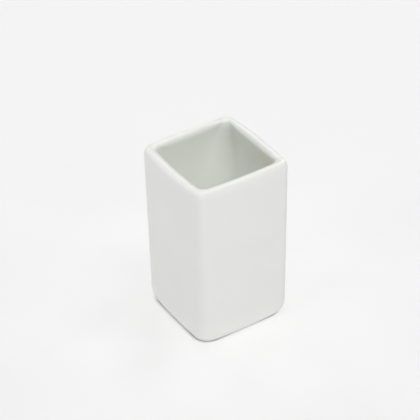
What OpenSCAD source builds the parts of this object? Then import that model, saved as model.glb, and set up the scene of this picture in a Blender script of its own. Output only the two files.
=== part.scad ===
// Square pen cup of white glazed porcelain, standing on four small foot pads.
// Frame: +Z up, origin on the table under the middle of the cup, millimetres.

/* [Cup] */
// Overall height, from the table to the top of the lip
cup_h = 101.5; // [85:0.5:115]
// Overall width and depth, across the middle of the bulging walls
cup_w = 60; // [54:0.5:66]
// How far each wall bulges outwards between its two corners
wall_bulge = 1.05; // [0.6:0.05:2]
// Radius of the upright corners outside
corner_r = 5; // [3.6:0.2:8]
// Thickness of the walls
wall_t = 5.9; // [4.8:0.1:6]
// Radius of the upright corners inside
inner_corner_r = 6; // [5:0.2:9]

/* [Lip] */
// Rounding of the lip's outer edge
lip_outer_r = 2.5; // [1.4:0.1:2.5]
// Rounding of the lip's inner edge
lip_inner_r = 2.2; // [1.4:0.1:2.2]

/* [Floor and foot] */
// Thickness of the floor
floor_t = 5; // [4:0.5:8]
// Rounding between the floor and the walls inside
floor_fillet_r = 4; // [2:0.5:4]
// Rounding of the outer bottom edge
foot_edge_r = 2.5; // [0.8:0.1:2.5]
// Distance from the walls' outer face to the recess in the underside
foot_ring_w = 6.4; // [5:0.2:9]
// Depth of the recess in the underside
recess_d = 1.2; // [0.8:0.1:2]

/* [Foot pads] */
// Diameter of a pad
pad_d = 9; // [6:0.5:12]
// How far the pads stand out below the bare foot ring
pad_proud = 0.3; // [0.3:0.1:1]
// Rounding of a pad's lower edge
pad_edge_r = 0.4; // [0.2:0.1:0.6]

/* [Hidden] */
$fn = 144;

half_w = cup_w / 2;
// A wall is an arc in plan: half its length between corners gives its radius from the bulge.
half_l = half_w - corner_r;
side_r = (half_l * half_l + wall_bulge * wall_bulge) / (2 * wall_bulge);
// Distance from the cup's axis to a wall arc's centre, on the far side. All parallel arcs share it.
side_k = side_r - half_w;

// Centre of an upright corner's arc (r) between two wall arcs (rs). The corner arc starts a hair outside the
// wall arc, so that the two cross at a clean shallow angle.
function corner_c(rs, r) =
    let (k = side_k + r - 0.02) (-k + sqrt(2 * rs * rs - k * k)) / 2;

foot_z = pad_proud;
recess_z = foot_z + recess_d;
floor_z = recess_z + floor_t;
pad_xy = half_w - foot_ring_w - wall_bulge - pad_d / 2 - 1.2;

// One side of the cup: everything inside the bulging wall on side q, as a large disc about the far centre.
module side_disc(q) {
    rotate([0, 0, 90 * q]) translate([-side_k, 0, 0]) rotate_extrude($fn = 720) children();
}

// A square with bulging sides and round upright corners: first child is the profile of a wall, from its arc's
// centre outwards, and second child that of a corner.
module bulged_square(c, z0, z1) {
    difference() {
        intersection() {
            side_disc(0) children(0);
            side_disc(1) children(0);
            side_disc(2) children(0);
            side_disc(3) children(0);
        }
        for (q = [0:3]) rotate([0, 0, 90 * q]) difference() {
            translate([c, c, z0 - 1]) cube([half_w, half_w, z1 - z0 + 2]);
            translate([c, c, 0]) rotate_extrude() children(1);
        }
    }
}

// Solid profile from x0 out to x1, its outer edges rounded: rb at the bottom and rt at the top.
module rounded_profile(x0, x1, z0, z1, rb, rt) {
    difference() {
        translate([x0, z0]) square([x1 - x0, z1 - z0]);
        difference() {
            translate([x1 - rb, z0 - 1]) square([rb + 1, rb + 1]);
            translate([x1 - rb, z0 + rb]) circle(rb);
        }
        difference() {
            translate([x1 - rt, z1 - rt]) square([rt + 1, rt + 1]);
            translate([x1 - rt, z1 - rt]) circle(rt);
        }
    }
}

// The cavity's profile: rounded into the floor below, flaring over the lip's inner edge above.
module cavity_profile(x0, x1) {
    over = 0.03; // the flare meets the flat of the lip at a slight angle
    difference() {
        translate([x0, floor_z]) square([x1 - x0 + lip_inner_r - 0.2, cup_h + 3 - floor_z]);
        difference() {
            translate([x1 - floor_fillet_r, floor_z - 1]) square([floor_fillet_r + 1, floor_fillet_r + 1]);
            translate([x1 - floor_fillet_r, floor_z + floor_fillet_r]) circle(floor_fillet_r);
        }
        translate([x1, floor_z - 1]) square([lip_inner_r + 1, cup_h - lip_inner_r + over - floor_z + 1]);
        translate([x1 + lip_inner_r, cup_h - lip_inner_r + over]) circle(lip_inner_r);
    }
}

module cup_outside() {
    bulged_square(corner_c(side_r, corner_r), foot_z, cup_h) {
        rounded_profile(0, side_r, foot_z, cup_h, foot_edge_r, lip_outer_r);
        rounded_profile(0, corner_r, foot_z, cup_h, foot_edge_r, lip_outer_r);
    }
}

module cup_cavity() {
    rs = side_r - wall_t;
    bulged_square(corner_c(rs, inner_corner_r), floor_z, cup_h + 3) {
        cavity_profile(0, rs);
        cavity_profile(0, inner_corner_r);
    }
}

// Shallow recess in the underside, with a rounded ceiling edge. It leaves the ring that the glaze is wiped off.
module underside_recess() {
    rs = side_r - foot_ring_w;
    mirror([0, 0, 1]) bulged_square(corner_c(rs, 5), -recess_z, 1) {
        rounded_profile(0, rs, -recess_z, 1, 0.8, 0.2);
        rounded_profile(0, 5, -recess_z, 1, 0.8, 0.2);
    }
}

module cup_body() {
    color("whitesmoke") difference() {
        cup_outside();
        cup_cavity();
        underside_recess();
    }
}

// A soft self-adhesive pad, stuck to the recess's ceiling.
module foot_pad(sx, sy) {
    color([0.86, 0.87, 0.86]) translate([sx * pad_xy, sy * pad_xy, 0]) rotate_extrude() {
        difference() {
            square([pad_d / 2, recess_z]);
            difference() {
                translate([pad_d / 2 - pad_edge_r, -1]) square([pad_edge_r + 1, pad_edge_r + 1]);
                translate([pad_d / 2 - pad_edge_r, pad_edge_r]) circle(pad_edge_r, $fn = 48);
            }
        }
    }
}

module foot_pad_front_left() { foot_pad(-1, -1); }
module foot_pad_front_right() { foot_pad(1, -1); }
module foot_pad_back_left() { foot_pad(-1, 1); }
module foot_pad_back_right() { foot_pad(1, 1); }

cup_body();
foot_pad_front_left();
foot_pad_front_right();
foot_pad_back_left();
foot_pad_back_right();
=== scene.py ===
import math

import bpy
from mathutils import Matrix, Vector


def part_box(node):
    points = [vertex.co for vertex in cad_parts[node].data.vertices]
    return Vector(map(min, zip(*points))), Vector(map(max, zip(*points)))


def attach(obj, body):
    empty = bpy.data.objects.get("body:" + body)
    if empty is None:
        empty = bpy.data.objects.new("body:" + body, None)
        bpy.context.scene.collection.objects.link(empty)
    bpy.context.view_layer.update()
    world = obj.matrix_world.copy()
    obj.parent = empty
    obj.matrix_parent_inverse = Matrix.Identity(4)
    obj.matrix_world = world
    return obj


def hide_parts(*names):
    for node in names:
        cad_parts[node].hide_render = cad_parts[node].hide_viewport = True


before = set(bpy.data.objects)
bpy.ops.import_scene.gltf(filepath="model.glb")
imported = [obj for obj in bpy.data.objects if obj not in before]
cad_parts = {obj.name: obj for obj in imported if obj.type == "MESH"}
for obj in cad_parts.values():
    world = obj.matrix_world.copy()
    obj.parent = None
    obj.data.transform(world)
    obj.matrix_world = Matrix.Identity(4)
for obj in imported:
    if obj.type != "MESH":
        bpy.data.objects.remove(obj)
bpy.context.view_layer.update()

MM = 0.001
cup_lo, cup_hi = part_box("cup_body")

# ---------------------------------------------------------------- sizes, in millimetres, in the frame's own axes
TOP = cup_hi.z / MM                 # the lip's crest
FOOT = cup_lo.z / MM                # the bare foot ring
HALF = (cup_hi.x - cup_lo.x) / 2 / MM   # middle of a wall
WALL = 5.9                          # wall thickness
SIDE_R, SIDE_IN_R = 300.0, 800.0    # radius of the walls' gentle bulge in plan, outside and inside
CORNER_TOP, CORNER_FOOT = 4.1, 6.8  # the upright corners soften towards the foot
TUCK, TUCK_H, TUCK_CORNER = 1.5, 9.0, 3.7   # the foot draws in: how far, how high, and how much rounder its corners get
CORNER_IN_TOP, CORNER_IN_DEEP = 3.2, 12.5   # inside, where the slip gathers in the corners lower down
LIP_AT = 2.5                        # from the outer face to the lip's crest
LIP_OUT, LIP_IN = 5.0, 4.3          # how far down the lip's rounding runs, outside and inside
LIP_IN_CORNER = 2.6                 # it is shorter in the inside corners
PULL = ((0.3, 1.35), (0.0, 0.0), (0.0, 0.0), (0.38, 0.05))    # a sponge opened the lip's corners out unevenly
LEAN, LEAN_OVER = 2.5, 10.0         # the back corner inside is cast thicker on its +X side: how much, and how far along
LIP_OUT_P, LIP_IN_P = 0.97, 0.87    # below 1 the rounding is flatter on top, and turns faster at its shoulder
FOOT_EDGE = 0.8
RECESS_IN, RECESS_TOP = 6.4, 1.5    # inset and height of the recess in the underside
FLOOR_TOP, FLOOR_FILLET = 6.5, 4.0

N_SIDE, N_CORNER = 28, 16           # segments along a wall and round a corner


def outline(half, side_r, corner, n_side=N_SIDE, n_corner=N_CORNER):
    """A square with bulging sides and round corners, as points in order round the cup."""
    k = side_r - half
    c = (-k + math.sqrt(2 * (side_r - corner) ** 2 - k * k)) / 2
    a = math.atan2(c, c + k)
    pts = []
    for q in range(4):
        cq, sq = round(math.cos(q * math.pi / 2)), round(math.sin(q * math.pi / 2))
        for i in range(n_side):
            t = -a + 2 * a * i / n_side
            x, y = -k + side_r * math.cos(t), side_r * math.sin(t)
            pts.append((x * cq - y * sq, x * sq + y * cq))
        for i in range(n_corner):
            t = a + (math.pi / 2 - 2 * a) * i / n_corner
            x, y = c + corner * math.cos(t), c + corner * math.sin(t)
            pts.append((x * cq - y * sq, x * sq + y * cq))
    return pts


def outside(z, inset=0.0):
    tuck = max(0.0, 1 - (z - FOOT) / TUCK_H) ** 3
    r = CORNER_TOP + (CORNER_FOOT - CORNER_TOP) * (1 - z / TOP) + TUCK_CORNER * tuck
    inset += TUCK * tuck
    return outline(HALF - inset, SIDE_R - inset, r - inset)


def inside_r(z):
    return CORNER_IN_TOP + (CORNER_IN_DEEP - CORNER_IN_TOP) * (1 - math.exp(-(TOP - z) / 19))


def inside(z, inset=0.0):
    return outline(HALF - WALL - inset, SIDE_IN_R - inset, inside_r(z) - inset)


def soft(t):
    t = min(1.0, max(0.0, t))
    return t * t * (3 - 2 * t)


def nearness():
    """1 at each upright corner, falling to 0 along the walls, for every point of an outline."""
    return ([soft(1 - min(i, N_SIDE - i) / 7) for i in range(N_SIDE)] + [1.0] * N_CORNER) * 4


def pulls():
    """How far every point of an outline moves."""
    out = []
    for q in range(4):
        before, after = PULL[q - 1], PULL[q]
        for i in range(N_SIDE):
            a, b = soft(1 - i / N_SIDE) ** 1.7, soft(i / N_SIDE) ** 1.7
            out.append((a * before[0] + b * after[0], a * before[1] + b * after[1]))
        out += [after] * N_CORNER
    return out


def lean(x, y, drop):
    """How much thicker the +X wall is towards the back corner inside, below the lip."""
    down = (1 - math.exp(-max(0.0, drop - LIP_IN) / 5)) * soft((TOP - FLOOR_TOP - FLOOR_FILLET - drop) / 30)
    return LEAN * down * math.exp(-max(0.0, HALF - WALL - y) / LEAN_OVER) * soft((x + 5) / 20)


def inside_ring(drop, out=0.0, blend=0.0):
    """A ring inside, drop below the lip's crest on the walls and higher up in the corners. It stands out from
    the wall's inner face by out; blend takes it from a parallel offset (0) to one shared with the outside (1)."""
    short = LIP_IN - LIP_IN_CORNER
    rise = short * drop / LIP_IN if drop < LIP_IN else short * max(0.0, 1 - (drop - LIP_IN) / 14)
    ends = []
    for z in (TOP - drop, TOP - drop + rise):
        near = outline(HALF - WALL + out, SIDE_IN_R + out, inside_r(z) + out)
        a, b, s = outside(z), inside(z), 1 - out / WALL
        far = [(p[0] + (q[0] - p[0]) * s, p[1] + (q[1] - p[1]) * s) for p, q in zip(a, b)]
        ends.append([(p[0] + (q[0] - p[0]) * blend, p[1] + (q[1] - p[1]) * blend, z) for p, q in zip(near, far)])
    ring = [[u + (v - u) * k for u, v in zip(p, q)] for p, q, k in zip(ends[0], ends[1], nearness())]
    move = (1 - blend) * soft(1 - (drop - LIP_IN) / 80)
    return [(p[0] + d[0] * move - lean(p[0], p[1], drop), p[1] + d[1] * move, p[2]) for p, d in zip(ring, pulls())]


def recess(inset=0.0):
    return outline(HALF - RECESS_IN - inset, SIDE_R - RECESS_IN - inset, 5.0 - inset)


def steps(n, first=True):
    return [i / n for i in range(0 if first else 1, n + 1)]


def cup_rings():
    """Every ring of the cup's one closed skin, from the middle of the underside, up the outside, over the lip,
    down the inside and to the middle of the floor. Each ring is a list of (x, y, z) points."""
    rings = []

    def add(pts, z):
        rings.append([(x, y, z) for x, y in pts])

    base = recess(0.9)
    for s in (0.08, 0.25, 0.45, 0.65, 0.82, 0.94):
        add([(x * s, y * s) for x, y in base], RECESS_TOP)
    for t in steps(6):                                   # ceiling of the recess, rounded down into its wall
        add(recess(0.9 * (1 - math.sin(t * math.pi / 2))), RECESS_TOP - 0.9 * (1 - math.cos(t * math.pi / 2)))
    for t in steps(3, False):                            # and over the inner edge of the foot ring
        add(recess(-0.3 * (1 - math.cos(t * math.pi / 2))), FOOT + 0.3 * (1 - math.sin(t * math.pi / 2)))
    lo, hi = recess(-0.3), outside(FOOT, FOOT_EDGE)
    for t in steps(6, False)[:-1]:
        add([(a[0] + (b[0] - a[0]) * t, a[1] + (b[1] - a[1]) * t) for a, b in zip(lo, hi)], FOOT)
    for t in steps(10):                                  # bottom edge
        f = t * math.pi / 2
        add(outside(FOOT + FOOT_EDGE * (1 - math.cos(f)), FOOT_EDGE * (1 - math.sin(f))), FOOT + FOOT_EDGE * (1 - math.cos(f)))
    z0, z1 = FOOT + FOOT_EDGE, TOP - LIP_OUT
    for t in steps(44, False)[:-1]:                      # wall, with its rings closest together at the foot
        t = 0.3 * t + 0.7 * t * t
        add(outside(z0 + (z1 - z0) * t), z0 + (z1 - z0) * t)
    at = LIP_AT / WALL
    for t in steps(16):                                  # lip, outer half
        f = t * math.pi / 2
        z = z1 + LIP_OUT * math.sin(f) ** LIP_OUT_P
        s = at * (1 - math.cos(f) ** LIP_OUT_P)
        add([(a[0] + (b[0] - a[0]) * s, a[1] + (b[1] - a[1]) * s) for a, b in zip(outside(z), inside(z))], z)
    for t in steps(16, False):                           # lip, inner half
        f = (1 - t) * math.pi / 2
        q = 1 - max(0.0, math.cos(f)) ** LIP_IN_P
        rings.append(inside_ring(LIP_IN * (1 - abs(math.sin(f)) ** LIP_IN_P), (WALL - LIP_AT) * q, q ** 3))
    z0, z1 = TOP - LIP_IN, FLOOR_TOP + FLOOR_FILLET
    for t in steps(34, False)[:-1]:
        rings.append(inside_ring(LIP_IN + (z0 - z1) * (0.55 * t + 0.45 * t * t)))
    for t in steps(10):                                  # wall into floor
        f = t * math.pi / 2
        z = z1 - FLOOR_FILLET * math.sin(f)
        add(inside(z, FLOOR_FILLET * (1 - math.cos(f))), z)
    base = inside(FLOOR_TOP, FLOOR_FILLET)
    for s in (0.94, 0.82, 0.65, 0.45, 0.25, 0.08):
        add([(x * s, y * s) for x, y in base], FLOOR_TOP)
    return rings


def skin(name, rings, collection):
    n = len(rings[0])
    verts = [Vector(p) * MM for r in rings for p in r]
    faces = []
    for j in range(len(rings) - 1):
        for i in range(n):
            a, b = j * n + i, j * n + (i + 1) % n
            faces.append((a, b, b + n, a + n))
    for ring, flip in ((0, False), (len(rings) - 1, True)):
        mid = sum((verts[ring * n + i] for i in range(n)), Vector()) / n
        verts.append(mid)
        m = len(verts) - 1
        for i in range(n):
            a, b = ring * n + i, ring * n + (i + 1) % n
            faces.append((m, b, a) if flip is False else (m, a, b))
    me = bpy.data.meshes.new(name)
    me.from_pydata([tuple(v) for v in verts], [], faces)
    me.validate()
    me.shade_smooth()
    ob = bpy.data.objects.new(name, me)
    collection.objects.link(ob)
    return ob


col = bpy.context.scene.collection
cup = skin("cup_porcelain", cup_rings(), col)


class Nodes:
    """Short way to wire up one material."""

    def __init__(self, name):
        self.material = bpy.data.materials.new(name)
        self.material.use_nodes = True
        self.tree = self.material.node_tree
        self.bsdf = self.tree.nodes["Principled BSDF"]

    def put(self, socket, value):
        if isinstance(value, bpy.types.NodeSocket):
            self.tree.links.new(value, socket)
        else:
            socket.default_value = value

    def math(self, op, a, b=0.0, c=0.0):
        n = self.tree.nodes.new("ShaderNodeMath")
        n.operation = op
        for k, v in enumerate((a, b, c)):
            self.put(n.inputs[k], v)
        return n.outputs[0]

    def place(self):
        """Object coordinates, in metres, as a vector and as x, y and z."""
        co = self.tree.nodes.new("ShaderNodeTexCoord").outputs["Object"]
        n = self.tree.nodes.new("ShaderNodeSeparateXYZ")
        self.put(n.inputs[0], co)
        return co, n.outputs[0], n.outputs[1], n.outputs[2]

    def ramp(self, value, at0, at1, to0=0.0, to1=1.0):
        """to0 at at0, to1 at at1, smooth between."""
        n = self.tree.nodes.new("ShaderNodeMapRange")
        n.interpolation_type = "SMOOTHSTEP"
        self.put(n.inputs["Value"], value)
        flip = at0 > at1
        for name, v in zip(("From Min", "From Max", "To Min", "To Max"), (at1, at0, to1, to0) if flip else (at0, at1, to0, to1)):
            self.put(n.inputs[name], v)
        return n.outputs["Result"]

    def noise(self, vector, size, detail=2.0, rough=0.5):
        """Noise whose features are about size metres across."""
        n = self.tree.nodes.new("ShaderNodeTexNoise")
        self.put(n.inputs["Vector"], vector)
        self.put(n.inputs["Scale"], 1.0 / size)
        self.put(n.inputs["Detail"], detail)
        self.put(n.inputs["Roughness"], rough)
        return n.outputs[0]

    def mix(self, fac, a, b, blend="MIX"):
        n = self.tree.nodes.new("ShaderNodeMix")
        n.data_type = "RGBA"
        n.blend_type = blend
        self.put(n.inputs[0], fac)
        for socket, v in ((n.inputs[6], a), (n.inputs[7], b)):
            self.put(socket, tuple(v) + (1.0,) if isinstance(v, tuple) and len(v) == 3 else v)
        return n.outputs[2]

    def bump(self, height, distance, normal=None, strength=1.0):
        n = self.tree.nodes.new("ShaderNodeBump")
        self.put(n.inputs["Strength"], strength)
        self.put(n.inputs["Distance"], distance)
        self.put(n.inputs["Height"], height)
        if normal is not None:
            self.put(n.inputs["Normal"], normal)
        return n.outputs[0]


GLAZE = (0.915, 0.917, 0.893)          # over the body, outside
GLAZE_IN = (0.910, 0.925, 0.876)       # painted light: a little greener and brighter inside, standing for light bounced round inside the cup
GLAZE_PAINTED_LIGHT = (0.935, 0.935, 0.905)      # lighter: over the lip partly thin glaze and partly a painted highlight from the top light; low down, painted bounce light
PAINTED_SHADE_BACK_CORNER = (0.917, 0.924, 0.925)      # painted shade: darker down the two inside corners of the +X side, more so near the top of the back one, and darker and yellower in the front one
PAINTED_SHADE_BACK_TOP = (0.930, 0.935, 0.935)     # more so at the top of the back one,
PAINTED_SHADE_FRONT_CORNER = (0.932, 0.925, 0.862)     # and where it stopped in a short bead in the front one
BISCUIT = (0.80, 0.785, 0.745)         # bare clay of the foot ring


def porcelain():
    g = Nodes("glazed_porcelain")
    co, x, y, z = g.place()
    off_axis = g.math("MAXIMUM", g.math("ABSOLUTE", x), g.math("ABSOLUTE", y))
    above_foot = g.ramp(z, 3.0 * MM, 5.0 * MM)
    inner = g.math("MULTIPLY", g.ramp(off_axis, (HALF - LIP_AT - 0.6) * MM, (HALF - WALL - 0.1) * MM), above_foot)
    lip = g.ramp(z, (TOP - 4.5) * MM, (TOP - 0.4) * MM)
    # the glaze stops just above the foot, in a slightly wandering line
    wander = g.math("MULTIPLY_ADD", g.noise(co, 6 * MM, 3.0), 0.3 * MM, z)
    bare = g.ramp(wander, (FOOT + 0.42) * MM, (FOOT + 0.30) * MM)
    pooled = g.math("MULTIPLY", g.ramp(wander, (FOOT + 2.6) * MM, (FOOT + 0.9) * MM), 0.35)

    # painted light: the inside takes a greener, brighter tone for the light bounced round it
    tone = g.mix(inner, GLAZE, GLAZE_IN)
    # painted shade: each row darkens an inside corner of the +X side, in a band below the lip
    for colour, sign, near0, near1, low, high in ((PAINTED_SHADE_BACK_CORNER, 1, 10, 22, 36, 18), (PAINTED_SHADE_BACK_TOP, 1, 13, 22, 20, 8),
                                                  (PAINTED_SHADE_FRONT_CORNER, -1, -8, 14, 15, 6)):
        in_corner = g.ramp(g.math("MINIMUM", x, g.math("MULTIPLY", y, sign)), near0 * MM, near1 * MM)
        shade_band = g.math("MULTIPLY", g.ramp(z, (TOP - 2) * MM, (TOP - 5) * MM), g.ramp(z, (TOP - low) * MM, (TOP - high) * MM))
        tone = g.mix(g.math("MULTIPLY", g.math("MULTIPLY", in_corner, shade_band), inner), tone, colour, "MULTIPLY")
    # over the lip outside: partly thinner glaze, partly a painted highlight where the lip faces the top light
    tone = g.mix(g.math("MULTIPLY", lip, g.math("SUBTRACT", 1.0, inner)), tone, GLAZE_PAINTED_LIGHT)
    # painted light: lighter over the lowest 15 mm, standing for light bounced up from the floor
    tone = g.mix(g.ramp(z, 15 * MM, 3 * MM), tone, GLAZE_PAINTED_LIGHT)
    tone = g.mix(pooled, tone, GLAZE_IN)
    cloud = g.ramp(g.noise(co, 26 * MM, 3.0, 0.55), 0.3, 0.7)
    tone = g.mix(g.math("MULTIPLY", cloud, 0.3), tone, (0.955, 0.965, 0.94), "MULTIPLY")
    grain = g.noise(co, 0.55 * MM, 4.0, 0.7)
    clay = g.mix(g.ramp(grain, 0.35, 0.65), BISCUIT, (0.86, 0.85, 0.82))
    g.put(g.bsdf.inputs["Base Color"], g.mix(bare, tone, clay))

    gloss = g.ramp(g.noise(co, 9 * MM, 3.0, 0.6), 0.3, 0.7, GLOSS - 0.03, GLOSS + 0.05)
    rough = g.math("ADD", gloss, g.math("MULTIPLY", bare, 0.55))
    g.put(g.bsdf.inputs["Roughness"], rough)
    g.bsdf.inputs["IOR"].default_value = 1.5

    glazed = g.math("SUBTRACT", 1.0, bare)
    swell = g.bump(g.math("MULTIPLY", g.noise(co, 13 * MM, 1.5), glazed), 0.05 * MM)
    peel = g.bump(g.math("MULTIPLY", g.noise(co, 1.3 * MM, 2.0), glazed), 0.0022 * MM, swell)
    clay_grain = g.bump(g.math("MULTIPLY", grain, bare), 0.06 * MM, peel)
    # a pinhole here and there, where a bubble burst in the kiln
    cells = g.tree.nodes.new("ShaderNodeTexVoronoi")
    g.put(cells.inputs["Vector"], co)
    g.put(cells.inputs["Scale"], 1.0 / (5.2 * MM))
    pick = g.tree.nodes.new("ShaderNodeSeparateColor")
    g.put(pick.inputs[0], cells.outputs["Color"])
    hole = g.math("MULTIPLY", g.ramp(cells.outputs["Distance"], 0.034, 0.014), g.math("GREATER_THAN", pick.outputs[0], 0.93))
    g.put(g.bsdf.inputs["Normal"], g.bump(g.math("MULTIPLY", g.math("MULTIPLY", hole, glazed), -1.0), 0.03 * MM, clay_grain))
    return g.material


GLOSS = 0.32
cup.data.materials.append(porcelain())
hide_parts("cup_body")
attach(cup, "root")


# ---------------------------------------------------------------- foot pads: moulded silicone discs with a soft dished face
def silicone():
    g = Nodes("pad_silicone")
    co, x, y, z = g.place()
    haze = g.ramp(g.noise(co, 2.2 * MM, 4.0, 0.6), 0.3, 0.7)
    g.put(g.bsdf.inputs["Base Color"], g.mix(haze, (0.60, 0.615, 0.61), (0.68, 0.69, 0.68)))
    g.put(g.bsdf.inputs["Roughness"], g.ramp(g.noise(co, 0.8 * MM, 3.0), 0.3, 0.7, 0.42, 0.58))
    g.bsdf.inputs["IOR"].default_value = 1.41
    g.put(g.bsdf.inputs["Normal"], g.bump(g.noise(co, 0.22 * MM, 3.0, 0.7), 0.012 * MM))
    return g.material


def pad(name, node, material):
    lo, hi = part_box(node)
    cx, cy = (lo.x + hi.x) / 2, (lo.y + hi.y) / 2
    r, top = (hi.x - lo.x) / 2, hi.z
    u = MM
    # half profile from the middle of the top face, out, down and back to the middle of the lower face
    prof = [(0, top), (r * 0.5, top), (r - 0.16 * u, top), (r - 0.05 * u, top - 0.05 * u), (r, top - 0.16 * u), (r, top - 0.6 * u)]
    for i in range(9):                                   # lower edge
        f = i / 8 * math.pi / 2
        prof.append((r - 0.42 * u * (1 - math.cos(f)), 0.42 * u * (1 - math.sin(f))))
    prof += [(r - 0.9 * u, 0.0), (r - 1.15 * u, 0.02 * u), (r - 1.3 * u, 0.07 * u), (r - 1.55 * u, 0.1 * u), (r - 2.4 * u, 0.1 * u), (0, 0.1 * u)]
    n = 96
    verts, faces = [], []
    rings = []
    for pr, pz in prof:
        if pr == 0:
            rings.append([len(verts)])
            verts.append((cx, cy, pz))
        else:
            rings.append(list(range(len(verts), len(verts) + n)))
            verts += [(cx + pr * math.cos(2 * math.pi * k / n), cy + pr * math.sin(2 * math.pi * k / n), pz) for k in range(n)]
    for a, b in zip(rings, rings[1:]):
        for k in range(n):
            k2 = (k + 1) % n
            if len(a) == 1:
                faces.append((a[0], b[k], b[k2]))
            elif len(b) == 1:
                faces.append((a[k2], a[k], b[0]))
            else:
                faces.append((a[k2], a[k], b[k], b[k2]))
    me = bpy.data.meshes.new(name)
    me.from_pydata(verts, [], faces)
    me.validate()
    me.shade_smooth()
    ob = bpy.data.objects.new(name, me)
    col.objects.link(ob)
    me.materials.append(material)
    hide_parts(node)
    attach(ob, "root")
    return ob


pad_mat = silicone()
for where in ("front_left", "front_right", "back_left", "back_right"):
    pad("pad_" + where, "foot_pad_" + where, pad_mat)

# ---------------------------------------------------------------- floor
def floor_material():
    """Pale studio paper with a painted glow, which gives way to a painted contact shadow at the patch that the cup
    covers.
    """
    g = Nodes("floor_pale")
    co, x, y, z = g.place()
    g.bsdf.inputs["Base Color"].default_value = (0.85, 0.85, 0.85, 1)
    g.bsdf.inputs["Roughness"].default_value = 0.9
    g.bsdf.inputs["Specular IOR Level"].default_value = 0.0
    g.bsdf.inputs["Emission Color"].default_value = (1, 1, 1, 1)
    r = PATCH_R * MM
    x, y = g.math("SUBTRACT", x, PATCH_X * MM), g.math("SUBTRACT", y, PATCH_Y * MM)
    q = [g.math("MAXIMUM", g.math("SUBTRACT", g.math("ABSOLUTE", v), HALF * MM - r), 0.0) for v in (x, y)]
    d = g.math("SUBTRACT", g.math("SQRT", g.math("ADD", g.math("MULTIPLY", q[0], q[0]), g.math("MULTIPLY", q[1], q[1]))), r)
    far = g.ramp(d, 0.4, 3.0, GLOW, 0.9)
    # painted shade in the glow: a little dimmer beside the cup at -X than in front of it, and the painted contact
    # shadow softer there
    across = g.math("SUBTRACT", x, y)
    local = g.ramp(across, -38 * MM, -6 * MM, GLOW_SIDE, GLOW_FRONT)
    near = g.ramp(d, 60 * MM, 6 * MM)
    local = g.math("MULTIPLY_ADD", near, g.math("SUBTRACT", local, 1.0), 1.0)
    width = g.ramp(across, -4 * MM, 12 * MM, SHADOW_SIDE * MM, SHADOW_FRONT * MM)
    shadow = g.ramp(g.math("DIVIDE", g.math("SUBTRACT", d, SHADOW_FROM * MM), width), 0.0, 1.0)
    g.put(g.bsdf.inputs["Emission Strength"], g.math("MULTIPLY", g.math("MULTIPLY", far, local), shadow))
    return g.material


GLOW, GLOW_SIDE, GLOW_FRONT = 0.403, 0.92, 1.045
SHADOW_FROM, SHADOW_SIDE, SHADOW_FRONT, PATCH_X, PATCH_Y, PATCH_R = -2.6, 3.0, 1.5, 0.0, 0.0, 12.5
bpy.ops.mesh.primitive_plane_add(size=12, location=(0, 0, 0))
floor = bpy.context.object
floor.name = "floor"
floor.data.materials.append(floor_material())

# ---------------------------------------------------------------- camera: the photograph's viewing angle
F_PX, DIST, PITCH, YAW, ROLL, CX, CY = 1575.3, 868.77, 0.6233, 0.5620, -0.0222, 216.54, 228.69
fwd = Vector((math.sin(YAW) * math.cos(PITCH), math.cos(YAW) * math.cos(PITCH), -math.sin(PITCH)))
right = Vector((math.cos(YAW), -math.sin(YAW), 0))
up = right.cross(fwd)
r2 = right * math.cos(ROLL) + up * math.sin(ROLL)
u2 = -right * math.sin(ROLL) + up * math.cos(ROLL)
eye = Vector((0, 0, 51.5)) - DIST * fwd - (CX - 210) / F_PX * DIST * r2 + (CY - 210) / F_PX * DIST * u2
cam_data = bpy.data.cameras.new("camera")
cam_data.sensor_fit = "HORIZONTAL"
cam_data.sensor_width = 36
cam_data.lens = F_PX / 420 * 36
cam_data.clip_start, cam_data.clip_end = 0.01, 100
cam = bpy.data.objects.new("camera", cam_data)
cam.matrix_world = Matrix((
    (r2.x, u2.x, -fwd.x, eye.x * MM),
    (r2.y, u2.y, -fwd.y, eye.y * MM),
    (r2.z, u2.z, -fwd.z, eye.z * MM),
    (0, 0, 0, 1)))
col.objects.link(cam)
bpy.context.scene.camera = cam

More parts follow.
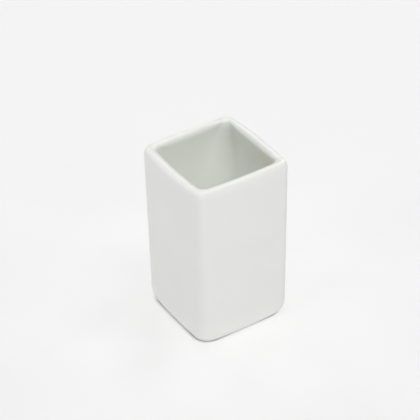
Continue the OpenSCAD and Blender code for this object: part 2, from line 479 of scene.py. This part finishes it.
# ---------------------------------------------------------------- light: soft boxes all round, in watts
TOP_W = 22.0
CUP_W = ((56, 0, 6.5), (56, 30, 4.3), (44, 120, 7.1), (44, 180, 4.5), (44, 330, 15.1), (8, 225, 10.5))
FLOOR_W = ((35, 0, 2.44), (35, 45, 3.08), (35, 90, 3.24), (35, 135, 2.64), (35, 180, 3.96), (35, 225, 2.32), (35, 270, 2.64), (35, 315, 1.04))


def softbox(name, direction, distance, size, power, only=None):
    """An area light facing the cup; size is (width, height) in metres."""
    d = Vector(direction).normalized()
    ld = bpy.data.lights.new(name, "AREA")
    ld.shape = "RECTANGLE"
    ld.size, ld.size_y = size
    ld.energy = power
    ob = bpy.data.objects.new(name, ld)
    ob.location = d * distance
    ob.rotation_mode = "QUATERNION"
    ob.rotation_quaternion = (-d).to_track_quat("-Z", "Y")
    col.objects.link(ob)
    if only is not None:
        ob.light_linking.receiver_collection = only
    return ob


def toward(elevation, azimuth):
    """Direction to a light: azimuth 0 is in front of the cup, at -Y, and 90 at +X."""
    e, a = math.radians(elevation), math.radians(azimuth)
    return math.cos(e) * math.sin(a), -math.cos(e) * math.cos(a), math.sin(e)


cup_only = bpy.data.collections.new("lit_cup")
cup_only.objects.link(cup)
floor_only = bpy.data.collections.new("lit_floor")
floor_only.objects.link(floor)
softbox("soft_top", (0, 0, 1), 2.2, (2.4, 2.4), TOP_W)
for kind, only, table in (("cup", cup_only, CUP_W), ("floor", floor_only, FLOOR_W)):
    for el, az, power in table:
        softbox("%s_%d_%d" % (kind, el, az), toward(el, az), 2.2, (0.6, 0.6) if el > 20 else (2.0, 0.6), power, only)

# the room behind is white to the eye, and adds no light of its own
world = bpy.data.worlds.new("studio")
world.use_nodes = True
background = world.node_tree.nodes["Background"]
background.inputs["Color"].default_value = (1, 1, 1, 1)
seen = world.node_tree.nodes.new("ShaderNodeLightPath")
level = world.node_tree.nodes.new("ShaderNodeMath")
level.operation = "MULTIPLY"
level.inputs[1].default_value = 0.9
world.node_tree.links.new(seen.outputs["Is Camera Ray"], level.inputs[0])
world.node_tree.links.new(level.outputs[0], background.inputs["Strength"])
bpy.context.scene.world = world
bpy.context.scene.view_settings.view_transform = "Standard"
